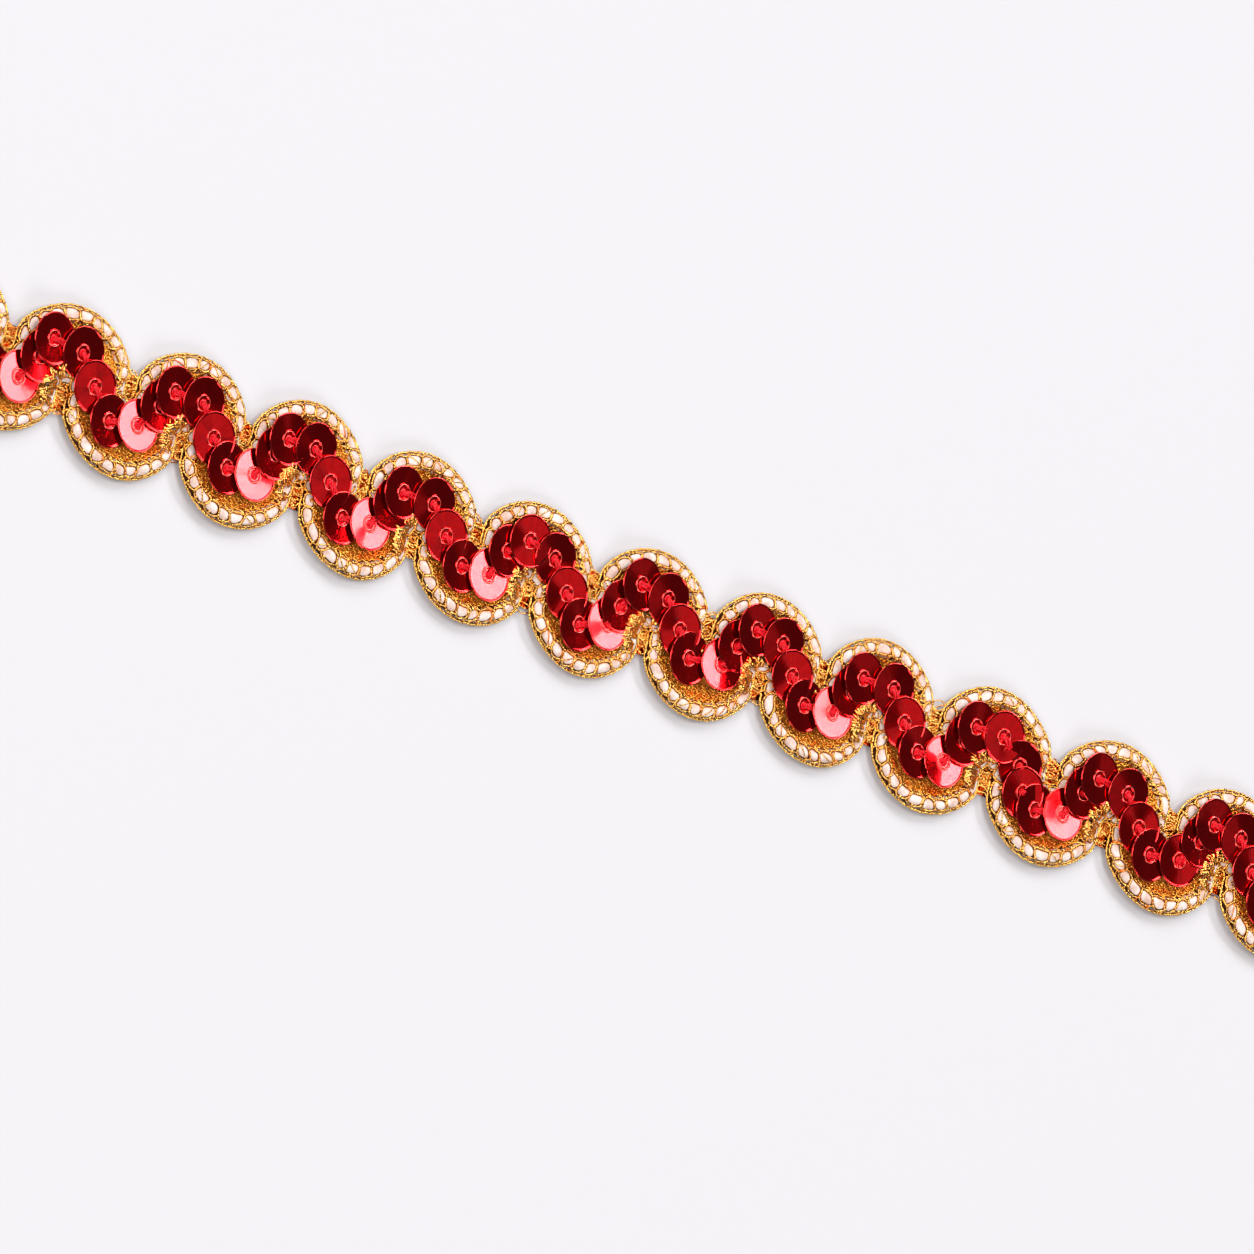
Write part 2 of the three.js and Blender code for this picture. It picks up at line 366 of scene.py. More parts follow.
def core_material():
    """Soft off-white cotton with a mottled tone, and painted shade: tinted orange, then dark brown, then near black the
    nearer it lies to a gold yarn, and darkened in the pits by the rim and on the cord's inner side.
    """
    m, nt, b = new_material("cotton_core")
    a, s = attribute(nt)
    geo = node(nt, "ShaderNodeTexCoord")
    soft = noise(nt, geo.outputs["Object"], 700, 3)
    fine = noise(nt, geo.outputs["Object"], 5200, 3)
    mottle = mathn(nt, "ADD", mathn(nt, "MULTIPLY", soft.outputs[0], 0.75), mathn(nt, "MULTIPLY", fine.outputs[0], 0.35))
    pale = ramp(nt, mottle, [(0.42, (0.61, 0.40, 0.325)), (0.66, (0.82, 0.725, 0.685))])
    jog = mathn(nt, "MULTIPLY", mathn(nt, "SUBTRACT", fine.outputs[0], 0.5), 0.22)
    near_cross = mathn(nt, "DIVIDE", 0.1, mathn(nt, "ADD", mathn(nt, "MAXIMUM", mathn(nt, "ADD", s.outputs[0], jog), 0.0), 0.12))
    near_bound = mathn(nt, "DIVIDE", 0.1, mathn(nt, "ADD", mathn(nt, "MAXIMUM", mathn(nt, "ADD", s.outputs[1], jog), 0.0), 0.12))
    # painted shade from the pits by the rim and on the cord's inner side
    shade_of_pits = mathn(nt, "MULTIPLY", s.outputs[2], 0.4)
    yarn_shade = mathn(nt, "ADD", mathn(nt, "MAXIMUM", near_cross, near_bound), shade_of_pits)
    corner_shade = mathn(nt, "ADD", mathn(nt, "ADD", near_cross, near_bound), shade_of_pits)
    # painted shade: tinted orange, then dark brown, then near black the nearer the cotton lies to a gold yarn, and in
    # the pits
    warm = ramp(nt, yarn_shade, [(0.22, (0, 0, 0)), (0.34, (1, 1, 1))])
    brown = ramp(nt, yarn_shade, [(0.30, (0, 0, 0)), (0.42, (1, 1, 1))])
    tone = ramp(nt, corner_shade, [(0.52, (0, 0, 0)), (0.62, (1, 1, 1))])
    tint = mixc(nt, warm.outputs[0], pale.outputs[0], (0.80, 0.36, 0.13))
    tint = mixc(nt, brown.outputs[0], tint, (0.30, 0.085, 0.010))
    col = mixc(nt, tone.outputs[0], tint, (0.055, 0.012, 0.001))
    nt.links.new(col, b.inputs["Base Color"])
    b.inputs["Roughness"].default_value = 0.6
    b.inputs["Sheen Weight"].default_value = 0.04
    b.inputs["Specular IOR Level"].default_value = 0.15
    bump = node(nt, "ShaderNodeBump")
    bump.inputs["Strength"].default_value = 0.6
    bump.inputs["Distance"].default_value = 0.00010
    nt.links.new(mathn(nt, "ADD", soft.outputs[0], mathn(nt, "MULTIPLY", fine.outputs[0], 0.6)), bump.inputs["Height"])
    nt.links.new(bump.outputs[0], b.inputs["Normal"])
    return m


def ground_material():
    """The woven tape between the cords: mottled orange-gold, with a fine woven bump both ways."""
    m, nt, b = new_material("braid_ground")
    a, s = attribute(nt)
    geo = node(nt, "ShaderNodeTexCoord")
    soft = noise(nt, geo.outputs["Object"], 500, 3)
    base = ramp(nt, soft.outputs[0], [(0.38, (0.92, 0.25, 0.02)), (0.62, (1.0, 0.42, 0.09))])
    nt.links.new(base.outputs[0], b.inputs["Base Color"])
    b.inputs["Roughness"].default_value = 0.7
    b.inputs["Specular IOR Level"].default_value = 0.15
    wx = mathn(nt, "SINE", mathn(nt, "MULTIPLY", s.outputs[0], 2 * math.pi / 0.28))
    wy = mathn(nt, "SINE", mathn(nt, "MULTIPLY", s.outputs[1], 2 * math.pi / 0.28))
    bump = node(nt, "ShaderNodeBump")
    bump.inputs["Strength"].default_value = 0.5
    bump.inputs["Distance"].default_value = 0.00006
    nt.links.new(mathn(nt, "MULTIPLY", wx, wy), bump.inputs["Height"])
    nt.links.new(bump.outputs[0], b.inputs["Normal"])
    return m


def foil_material():
    """Red metallic foil: mirror-bright, with a fine radial brushing and a clear film on top; its embossed ring is
    painted a pale pink-red and its rim a brighter red, as painted highlights.
    """
    m, nt, b = new_material("red_foil")
    a, s = attribute(nt)
    brush = noise(nt, a.outputs["Vector"], 1.0, 3, 0.6)
    wide = noise(nt, a.outputs["Vector"], 0.25, 1)
    geo = node(nt, "ShaderNodeTexCoord")
    speck = noise(nt, geo.outputs["Object"], 1500, 2)
    tone = mathn(nt, "ADD", mathn(nt, "MULTIPLY", wide.outputs[0], 0.7), mathn(nt, "MULTIPLY", speck.outputs[0], 0.3))
    r = ramp(nt, tone, [(0.35, (0.66, 0.000, 0.002)), (0.65, (0.82, 0.001, 0.004))])
    coded = mathn(nt, "MODULO", s.outputs[2], 9.7)  # the distance from the disc's middle, and 4 more on its back
    back = mathn(nt, "GREATER_THAN", coded, 3.0)
    radius = mathn(nt, "DIVIDE", mathn(nt, "SUBTRACT", coded, mathn(nt, "MULTIPLY", back, 4.0)), 0.35)
    ring = mathn(nt, "SUBTRACT", 1.0, mathn(nt, "DIVIDE", mathn(nt, "ABSOLUTE", mathn(nt, "SUBTRACT", radius, 0.89)), 0.085), clamp=True)
    dish = mathn(nt, "LESS_THAN", radius, 0.78)
    edge = mathn(nt, "DIVIDE", mathn(nt, "SUBTRACT", radius, 2.80), 0.08, clamp=True)
    # painted highlight: the embossed ring is coloured pale pink-red and the rim a brighter red
    col = mixc(nt, mathn(nt, "MULTIPLY", ring, 0.9), r.outputs[0], (1.0, 0.15, 0.12))
    col = mixc(nt, mathn(nt, "MULTIPLY", edge, 0.45), col, (1.0, 0.08, 0.07))
    col = mixc(nt, mathn(nt, "MULTIPLY", back, 0.85), col, (0.10, 0.000, 0.001))
    nt.links.new(col, b.inputs["Base Color"])
    rough = node(nt, "ShaderNodeMapRange")
    rough.inputs["To Min"].default_value = 0.04
    rough.inputs["To Max"].default_value = 0.08
    nt.links.new(brush.outputs[0], rough.inputs["Value"])
    dull = mathn(nt, "ADD", mathn(nt, "MULTIPLY", back, 0.4), mathn(nt, "ADD", mathn(nt, "MULTIPLY", ring, 0.20), mathn(nt, "MULTIPLY", dish, 0.08)))
    nt.links.new(mathn(nt, "ADD", rough.outputs[0], dull), b.inputs["Roughness"])
    plain = mathn(nt, "ADD", mathn(nt, "MULTIPLY", back, 0.8), mathn(nt, "MULTIPLY", ring, 0.6))
    nt.links.new(mathn(nt, "SUBTRACT", 1.0, plain, clamp=True), b.inputs["Metallic"])
    b.inputs["Coat Weight"].default_value = 0.24
    b.inputs["Coat Roughness"].default_value = 0.035
    b.inputs["Coat IOR"].default_value = 1.5
    bump = node(nt, "ShaderNodeBump")
    bump.inputs["Strength"].default_value = 0.2
    bump.inputs["Distance"].default_value = 0.000012
    nt.links.new(brush.outputs[0], bump.inputs["Height"])
    nt.links.new(bump.outputs[0], b.inputs["Normal"])
    return m


def thread_material():
    m, nt, b = new_material("red_thread")
    a, s = attribute(nt)
    geo = node(nt, "ShaderNodeTexCoord")
    fine = noise(nt, geo.outputs["Object"], 4200, 2)
    r = ramp(nt, fine.outputs[0], [(0.36, (0.55, 0.000, 0.003)), (0.64, (1.0, 0.006, 0.022))])
    nt.links.new(r.outputs[0], b.inputs["Base Color"])
    b.inputs["Roughness"].default_value = 0.30
    b.inputs["Specular IOR Level"].default_value = 0.3
    wave = mathn(nt, "SINE", mathn(nt, "ADD", mathn(nt, "MULTIPLY", s.outputs[0], 2 * math.pi / 0.3),
                                  mathn(nt, "MULTIPLY", s.outputs[1], 4 * math.pi)))
    bump = node(nt, "ShaderNodeBump")
    bump.inputs["Strength"].default_value = 0.5
    bump.inputs["Distance"].default_value = 0.00003
    nt.links.new(wave, bump.inputs["Height"])
    nt.links.new(bump.outputs[0], b.inputs["Normal"])
    return m


CORE, GROUND, FOIL, THREAD = core_material(), ground_material(), foil_material(), thread_material()

# ------------------------------------------------------------------ the edge cords
CELL = 1.72  # length of one white cell along the cord
ROW = (math.radians(-27), math.radians(61))  # the two yarns that bound the row of cells, from the cord's top
ROW_MID, ROW_HALF = (ROW[0] + ROW[1]) / 2, (ROW[1] - ROW[0]) / 2
PINCH = math.radians(12)
SECOND = math.radians(-66)  # the foot of the smaller cells on the inner side
BACK = [100, 155, 205, 262]  # degrees round the cord: the yarns out of sight


class Ladder:
    """Where the cross yarns lie along one cord, and how far each runs askew."""

    def __init__(self, cord, seed):
        r0 = np.random.default_rng(seed)
        n = int(cord.length / CELL)
        self.s = (np.arange(n) + 0.5) * cord.length / n + r0.uniform(-0.26, 0.26, n)
        self.skew = r0.uniform(-0.30, 0.42, n)
        self.low = r0.uniform(-0.10, 0.10, n)

    def near(self, s, phi):
        """Distance along the cord from s to the nearest cross yarn, at angle phi."""
        k = np.clip(np.searchsorted(self.s, s), 1, len(self.s) - 1)
        v = (phi - ROW_MID) / ROW_HALF
        d0 = s - (self.s[k - 1] + self.skew[k - 1] * v)
        d1 = s - (self.s[k] + self.skew[k] * v)
        return np.where(np.abs(d0) < np.abs(d1), d0, d1)


def row_line(ladder, s, which, seed):
    """The angle of one bounding yarn: it is drawn in where a cross yarn leaves it."""
    d = ladder.near(s, ROW[which])
    inward = 1 if which == 0 else -1
    d = np.abs(d)
    if which == 0:
        drawn = np.maximum(1 - d / 0.62, 0) ** 1.3
    else:
        drawn = 1.9 * np.maximum(1 - d / 0.55, 0)
    return (ROW[which] + inward * PINCH * drawn - inward * math.radians(3)
            + math.radians(4) * wander(s, 1.9, seed + 50 + which))


def plies(b, p, r, apart, pitch, s, w, h, tone, start=0.0):
    """Two plies twisted round each other along the path p."""
    d = np.gradient(p, axis=0)
    d /= np.linalg.norm(d, axis=1, keepdims=True) + 1e-12
    side = np.cross(d, r)
    side /= np.linalg.norm(side, axis=1, keepdims=True) + 1e-12
    for ply in (0, np.pi):
        a = 2 * np.pi * s / pitch + ply + start
        q = p + apart * (side * np.sin(a)[:, None] + 0.8 * r * np.cos(a)[:, None])
        b.strand(q, r, w, h, 4, tone=tone)


def build_core(name, cord, ladder, seed):
    b = Builder()
    n = int(cord.length / 0.22)
    s = np.linspace(0, cord.length, n + 1)
    degs = np.array([-180, -150, -120, -95, -75, -58, -44, -32, -22, -10, 2, 14, 26, 38, 50, 62, 78, 98, 125, 152])
    ph = np.radians(degs)
    around = len(ph)
    lines = [row_line(ladder, s, k, seed) for k in (0, 1)]
    lift = np.zeros((n + 1, around))
    pit_shade = np.zeros((n + 1, around))
    cross = np.zeros((n + 1, around))  # mm to the nearest cross yarn, and to the nearest bounding yarn
    bound = np.zeros((n + 1, around))
    for j, p in enumerate(ph):
        d = np.abs(ladder.near(s, p))
        v = (p - (lines[0] + lines[1]) / 2) / ((lines[1] - lines[0]) / 2)
        inside = np.clip((1.0 - np.abs(v)) * 4, 0, 1)
        dome = np.clip(1 - v * v, 0, 1) ** 0.6 * np.clip(1 - (np.maximum(0.86 - d, 0) / 0.86) ** 3, 0, 1)
        cross[:, j] = d
        bound[:, j] = np.abs(1 - np.abs(v)) * ROW_HALF * 0.95
        corner = np.exp(-(d / 0.27) ** 2) * np.clip((np.abs(v) - 0.45) / 0.3, 0, 1)
        lift[:, j] = inside * 0.10 * dome - 0.07 * (1 - inside) - 0.08 * corner
        # painted shade: the pits between the row of cells and the rim are marked dark, and the cord's inner side too,
        # lightly down to 60 degrees inwards and strongly beyond
        rel = degs[j]
        if rel > 60:
            pit_shade[:, j] = 1.1 * np.clip((160 - rel) / 30, 0, 1)
        elif rel < -30:
            pit_shade[:, j] = (0.12 if rel > -60 else 0.9) * np.clip((160 + rel) / 30, 0, 1)
    rings = []
    for j, p in enumerate(ph):
        q, _ = cord.point(s, np.full_like(s, p), lift[:, j] - 0.03, low=0.08)
        rings.append(q)
    ring = np.stack(rings, 1)
    data = np.zeros((n + 1, around, 3))
    data[..., 0], data[..., 1], data[..., 2] = cross, bound, pit_shade
    i = np.arange(n)[:, None] * around
    j = np.arange(around)[None, :]
    k = (j + 1) % around
    quads = np.stack([i + j, i + k, i + around + k, i + around + j], -1).reshape(-1, 4)
    e = n * around
    caps = [[0, q + 1, q] for q in range(1, around - 1)] + [[e, e + q, e + q + 1] for q in range(1, around - 1)]
    caps = np.array(caps)
    if cord.side > 0:
        quads, caps = quads[:, ::-1], caps[:, ::-1]
    b.add(ring.reshape(-1, 3), quads, caps, data.reshape(-1, 3))
    return b.make(name, CORE)


def build_net(name, cord, ladder, seed):
    """The open gold work: two bounding yarns, the cross yarns between them, and the yarns below."""
    b = Builder()
    r0 = np.random.default_rng(seed + 3)
    for which in (0, 1):
        s = np.linspace(0.02, cord.length - 0.02, int(cord.length / 0.175) + 1)
        phi = row_line(ladder, s, which, seed)
        lift = 0.075 + 0.03 * wander(s, 1.1, seed + 70 + which)
        p, r = cord.point(s, phi, lift, low=0.12)
        wide = (0.098, 0.068)[which] + 0.025 * wander(s, 0.8, seed + 92 + which)
        plies(b, p, r, (0.075, 0.045)[which], 0.70 + 0.08 * which, s, wide, 0.085, 0.45 + 0.3 * which,
              start=wander(s, 2.2, seed + 85 + which) * 2.0)
    for deg in BACK:
        s = np.linspace(0.02, cord.length - 0.02, int(cord.length / 0.5) + 1)
        phi = math.radians(deg) + math.radians(12) * np.sin(2 * np.pi * s / CELL + deg)
        p, r = cord.point(s, phi, np.full_like(s, 0.05), low=0.12)
        b.strand(p, r, 0.17, 0.08, 4, tone=r0.uniform(0, 1))
    m = 9
    for k in range(len(ladder.s)):
        v = np.linspace(-1.02, 1.02, m)
        bow = r0.uniform(-0.10, 0.10)
        ss = np.clip(ladder.s[k] + ladder.skew[k] * v + bow * (1 - v * v), 0.02, cord.length - 0.02)
        phi = ROW_MID - 0.25 * PINCH + v * (ROW_HALF - 0.85 * PINCH)
        p, r = cord.point(ss, phi, 0.055 + 0.05 * v * v)
        along = v * ROW_HALF * 1.0
        plies(b, p, r, 0.062, 0.55 + r0.uniform(-0.1, 0.1), along, 0.087, 0.08, r0.uniform(0.1, 1), start=r0.uniform(0, 6.3))
        if r0.uniform() < 0.55:  # a second yarn that crosses the first, so the joint looks knotted
            ss2 = np.clip(ladder.s[k] + (0.17 - ladder.skew[k]) * v * 0.7 + r0.uniform(-0.05, 0.05), 0.02, cord.length - 0.02)
            q, r = cord.point(ss2, phi, 0.10 + 0.03 * np.cos(v * 2))
            b.strand(q, r, 0.085, 0.07, 4, tone=r0.uniform(0, 1))
        if r0.uniform() < 0.22 and k + 1 < len(ladder.s):  # a slanting yarn that splits the next cell
            t = np.linspace(0, 1, 7)
            ss3 = ladder.s[k] + (ladder.s[k + 1] - ladder.s[k]) * (0.08 + 0.84 * t)
            q, r = cord.point(ss3, ROW_MID + (1 - 2 * t) * ROW_HALF * r0.choice([-0.8, 0.8]), 0.09 + 0.04 * np.sin(np.pi * t))
            b.strand(q, r, 0.08, 0.07, 4, tone=r0.uniform(0, 1))
        for end in (-1, 1):  # the knot at each end of the cross yarn
            t = np.linspace(-1, 1, 4)
            lean = r0.uniform(-1.3, 1.3)
            q, r = cord.point(np.clip(ladder.s[k] + ladder.skew[k] * end + 0.17 * t * math.cos(lean), 0.02, cord.length - 0.02),
                              ROW_MID + end * (ROW_HALF - (1.0 if end < 0 else 1.7) * PINCH) + 0.17 * t * math.sin(lean), 0.13 + 0.05 * (1 - t * t))
            b.strand(q, r, (0.12 if end < 0 else 0.085) + r0.uniform(0, 0.04), 0.075, 4, tone=r0.uniform(0.2, 1))
        for way in (-1, 1):  # the smaller cells of the inner side hang from the same joints
            t = np.linspace(0, 1, 6)
            far = way * (0.5 * CELL + r0.uniform(-0.22, 0.22))
            ss = np.clip(ladder.s[k] - ladder.skew[k] + far * t, 0.02, cord.length - 0.02)
            q, r = cord.point(ss, ROW[0] + 0.7 * PINCH * (1 - t) + (SECOND - ROW[0]) * t, 0.05 + 0.07 * np.sin(np.pi * t))
            b.strand(q, r, 0.115 + r0.uniform(-0.02, 0.03), 0.08, 4, tone=r0.uniform(0, 1))
    return b.make(name, GOLD, smooth_shade=False)


# the gold yarns worked closely over the cord's inner half and down on to the ground: distance
# from the centre line, height, sideways swing and length of one swing, in mm
BAND = [
    {"out": -0.94, "z": 1.36, "swing": 0.13, "length": 0.80},
    {"out": -1.18, "z": 1.22, "swing": 0.17, "length": 0.92},
    {"out": -1.48, "z": 1.10, "swing": 0.18, "length": 0.80},
    {"out": -1.82, "z": 1.02, "swing": 0.20, "length": 0.95},
    {"out": -2.18, "z": 0.95, "swing": 0.19, "length": 0.84},
    {"out": -2.56, "z": 0.88, "swing": 0.22, "length": 1.05},
]


def build_dense(name, cord, seed):
    b = Builder()
    n = int(cord.length / 0.172)
    s = np.linspace(0.02, cord.length - 0.02, n + 1)
    h = np.interp(s, cord.s, cord.h)
    r = np.stack([-0.5 * np.interp(s, cord.s, cord.nx), -0.5 * np.interp(s, cord.s, cord.ny), np.full_like(s, 0.87)], -1)
    for i, row in enumerate(BAND):
        phase = 2 * np.pi * s / row["length"] + 2.1 * i + 1.8 * wander(s, 2.2, seed + i)
        out = row["out"] + row["swing"] * np.sin(phase) + 0.07 * wander(s, 1.4, seed + 5 + i)
        z = row["z"] * h + 0.10 * np.cos(phase * 0.5 + i) + 0.05 * wander(s, 0.9, seed + 15 + i) + 0.06 * np.sin(phase)
        w = 0.135 * (1 + 0.25 * np.sin(phase * 2 + i))
        b.strand(cord.beside(s, out, z), r, w, 0.09 + 0.03 * np.sin(phase * 2 + i), 4, tone=rng.uniform(0, 1))
    return b.make(name, GOLD_DENSE, smooth_shade=False)


def build_rim(name, cord, seed):
    """The twisted line round the outer edge, and the stitches that tie it to the cord."""
    b = Builder()
    n = int(cord.length / 0.17)
    s = np.linspace(0.02, cord.length - 0.02, n + 1)
    off = 1.18 + 0.03 * np.cos(2 * np.pi * s / 1.15 + wander(s, 3.0, seed)) + 0.03 * wander(s, 2.0, seed + 1)
    h = np.interp(s, cord.s, cord.h)
    off = off - 0.10 * (1 - h) / 0.25
    z = 1.12 * h + 0.05 * wander(s, 2.5, seed + 2)
    r = np.stack([0.6 * np.interp(s, cord.s, cord.nx), 0.6 * np.interp(s, cord.s, cord.ny), np.full_like(s, 0.8)], -1)
    plies(b, cord.beside(s, off, z), r, 0.05, 0.95, s, 0.09, 0.10, 0.9, start=wander(s, 2.0, seed + 3) * 1.5)
    r0 = np.random.default_rng(seed + 9)
    at = 0.5
    while at < cord.length - 0.5:
        m = 6
        t = np.linspace(0, 1, m)
        ss = at + r0.uniform(0.10, 0.45) * (t - 0.5)
        p0, rr = cord.point(ss, math.radians(48) + math.radians(38) * t, 0.08 + 0.09 * np.sin(np.pi * t))
        b.strand(p0, rr, 0.10 + r0.uniform(-0.02, 0.05), 0.09, 4, tone=r0.uniform(0.3, 1))
        at += 1.9 * (1 + r0.uniform(-0.16, 0.16))
    return b.make(name, GOLD_RIM, smooth_shade=False)


for i, (key, cord) in enumerate(CORDS.items()):
    seed = 100 + 400 * i
    ladder = Ladder(cord, seed + 7)
    build_core("core_" + key, cord, ladder, seed)
    build_net("gold_net_" + key, cord, ladder, seed)
    build_dense("gold_edge_" + key, cord, seed + 200)
    build_rim("gold_rim_" + key, cord, seed + 300)


def build_notches():
    """At the foot of each notch the outer loops of the two cords catch each other: a low web and loose loops."""
    b = Builder()
    r0 = np.random.default_rng(915)
    for cord in CORDS.values():
        sgn = cord.side
        for w in range(FIRST, LAST + (0 if sgn > 0 else 1)):
            turn = w + (0.5 if sgn > 0 else 0.0)
            if turn - 0.2 < FIRST or turn + 0.2 > LAST:
                continue
            for k in range(13):  # the low web, its strands given the darkest gold tone as painted shade under the loops
                reach = 0.05 + 0.135 * (k + 0.5) / 13
                ends = [cord.beside(np.array([cord.s_of(turn + way * reach)]), 0.85, np.array([0.40]))[0] for way in (-1, 1)]
                t = np.linspace(0, 1, 5)
                p = ends[0] * (1 - t)[:, None] + ends[1] * t[:, None]
                p[:, 2] += 0.04 * np.sin(7 * t + k)
                b.strand(p, np.tile([0, 0, 1.0], (5, 1)), 0.24, 0.06, 4, tone=-0.6)
            for k in range(30):
                deep = r0.uniform(0, 1)
                reach = 0.055 + 0.135 * deep  # how far from the foot, in waves of cord length
                ta, tb = turn - reach * r0.uniform(0.8, 1.1), turn + reach * r0.uniform(0.8, 1.1)
                sa, sb = cord.s_of(ta), cord.s_of(tb)
                a0 = cord.beside(np.array([sa]), 0.95, np.array([r0.uniform(0.3, 1.05)]))[0]
                b0 = cord.beside(np.array([sb]), 0.95, np.array([r0.uniform(0.3, 1.05)]))[0]
                m = 8
                t = np.linspace(0, 1, m)
                bow = r0.uniform(-0.55, 0.75) * np.sin(np.pi * t)
                p = a0 * (1 - t)[:, None] + b0 * t[:, None]
                p[:, 1] += sgn * bow + 0.10 * np.sin(2 * np.pi * t * r0.uniform(0.6, 1.6) + r0.uniform(0, 6))
                p[:, 2] += r0.uniform(-0.35, 0.30) * np.sin(np.pi * t)
                p[:, 2] = np.maximum(p[:, 2], 0.12)
                b.strand(p, np.tile([0, 0, 1.0], (m, 1)), 0.095, 0.075, 4, tone=r0.uniform(0.2, 1))
    return b.make("gold_notch_loops", GOLD, smooth_shade=False)


# floats at the cords' turns: how many, over what length before and after the foot of the turn, how far
# inwards and how high they reach, in mm
TUFTS = [
    {"cord": "lower", "count": 30, "start": -5.2, "end": -1.0, "reach": 1.25, "more": 0.7, "rise": 0.48},
    {"cord": "lower", "count": 16, "start": -1.0, "end": 4.0, "reach": 0.75, "more": 0.2, "rise": 0.05},
    {"cord": "upper", "count": 26, "start": -3.6, "end": 3.6, "reach": 0.75, "more": 0.25, "rise": 0.10},
]


def build_tufts():
    """Gold floats that bulge over the inner side of the cords' turns, where the sequins tuck against them."""
    b = Builder()
    r0 = np.random.default_rng(518)
    for row in TUFTS:
        cord = CORDS[row["cord"]]
        for w in range(FIRST + (1 if cord.side < 0 else 0), LAST + (0 if cord.side > 0 else 1)):
            foot = float(cord.s_of(w + (0.5 if cord.side > 0 else 0.0)))
            for k in range(row["count"]):
                f = r0.uniform(0, 1)
                s0 = foot + row["start"] + (row["end"] - row["start"]) * f
                if s0 > cord.length - 1.2:
                    continue
                reach = row["reach"] + row["more"] * math.sin(math.pi * f) + r0.uniform(-0.15, 0.15)
                m = 8
                t = np.linspace(0, 1, m)
                ss = s0 + r0.uniform(-0.9, 0.7) * t + 0.12 * np.sin(2 * np.pi * t + r0.uniform(0, 6))
                z = 1.50 + row["rise"] * t + r0.uniform(0.14, 0.32) * np.sin(np.pi * np.clip(t * 0.92, 0, 1))
                z[-1] -= 0.22
                p = cord.beside(ss, 0.25 - (0.25 + reach) * t, z)
                b.strand(p, np.tile([0, 0, 1.0], (m, 1)), r0.uniform(0.11, 0.17), 0.09, 4, tone=r0.uniform(0, 1))
    return b.make("gold_tufts", GOLD, smooth_shade=False)


build_notches()
build_tufts()


# ------------------------------------------------------------------ the ground between the cords
U1, U2 = 0.42, 0.58


def lane(u, forward):
    """Share of the half wave's cord length at station u: the lobe side, or the turn side."""
    if not forward:
        return 1 - lane(1 - u, True)
    a, l = ARC_L / HALF_L, (ARC_L + LEG_L) / HALF_L
    return np.interp(u, [0, U1, U2, 1], [0, a, l, 1])


def ground_rows(per_half):
    """Matching points on the two cords' centre lines, as cord positions."""
    rows = []
    for half in range(2 * FIRST, 2 * LAST):
        u = np.arange(per_half) / per_half
        even = half % 2 == 0
        f = lane(u, even)
        g = lane(u, not even)
        rows.append(np.stack([half / 2 + f / 2, half / 2 + g / 2], -1))
    rows.append(np.array([[LAST, LAST]], float))
    return np.concatenate(rows)


def build_ground():
    b = Builder()
    rows = ground_rows(16)
    ax, ay, anx, any_, ah = upper.at(upper.s_of(rows[:, 0]))
    bx, by, bnx, bny, bh = lower.at(lower.s_of(rows[:, 1]))
    across = 10
    v = np.linspace(0, 1, across)
    a = np.stack([ax - 0.5 * anx, ay - 0.5 * any_], -1)
    c = np.stack([bx - 0.5 * bnx, by - 0.5 * bny], -1)
    flat = a[:, None] * (1 - v)[None, :, None] + c[:, None] * v[None, :, None]
    sag = 0.52 + 0.10 * np.cos(2 * np.pi * v)[None, :] + 0.03 * np.sin(flat[..., 0] * 2.1 + flat[..., 1] * 3.7)
    top = np.concatenate([flat, sag[..., None]], -1)
    low = np.concatenate([flat, (sag - 0.22)[..., None]], -1)
    n = len(rows)
    pts = np.concatenate([top.reshape(-1, 3), low.reshape(-1, 3)])
    data = np.zeros((len(pts), 3))
    data[:, 0], data[:, 1] = pts[:, 0], pts[:, 1]
    i = np.arange(n - 1)[:, None] * across
    j = np.arange(across - 1)[None, :]
    up = np.stack([i + j, i + across + j, i + across + j + 1, i + j + 1], -1).reshape(-1, 4)[:, ::-1]
    o = n * across
    down = up[:, ::-1] + o
    side = []
    for r in range(n - 1):
        p, q = r * across, (r + 1) * across
        side.append([p, q, q + o, p + o])
        p, q = r * across + across - 1, (r + 1) * across + across - 1
        side.append([q, p, p + o, q + o])
    for c0 in range(across - 1):
        side.append([c0 + 1, c0, c0 + o, c0 + 1 + o])
        e = (n - 1) * across + c0
        side.append([e, e + 1, e + 1 + o, e + o])
    b.add(pts, np.concatenate([up, down, np.array(side)[:, ::-1]]), None, data)
    area = 0.0
    p, q = flat[:-1, :-1], flat[1:, 1:]
    r, t = flat[:-1, 1:], flat[1:, :-1]
    d1, d2 = q - p, t - r
    area = float(np.abs(d1[..., 0] * d2[..., 1] - d1[..., 1] * d2[..., 0]).sum() / 2)
    return b.make("ground_tape", GROUND), area * 1e-6


def build_weft():
    """Gold wefts that cross the back from cord to cord."""
    b = Builder()
    rows = ground_rows(26)
    r0 = np.random.default_rng(77)
    for k, (ta, tb) in enumerate(rows):
        sa = upper.s_of(ta) + r0.uniform(-0.05, 0.05)
        sb = lower.s_of(tb) + r0.uniform(-0.05, 0.05)
        n = 6
        ax, ay, anx, any_, ah = [float(q) for q in upper.at(sa)]
        bx, by, bnx, bny, bh = [float(q) for q in lower.at(sb)]
        v = np.linspace(0, 1, n)
        x = (ax - 0.6 * anx) * (1 - v) + (bx - 0.6 * bnx) * v
        y = (ay - 0.6 * any_) * (1 - v) + (by - 0.6 * bny) * v
        z = 0.20 + 0.04 * np.cos(np.pi * np.arange(n) + k * np.pi)
        p = np.stack([x, y, z], -1)
        b.strand(p, np.tile([0, 0, 1.0], (n, 1)), 0.10, 0.07, 4, tone=r0.uniform(0, 1))
    return b.make("gold_weft", GOLD_DENSE)


ground, GROUND_AREA = build_ground()
weft = build_weft()

# ------------------------------------------------------------------ the sequins
SEQ_R = 3.0
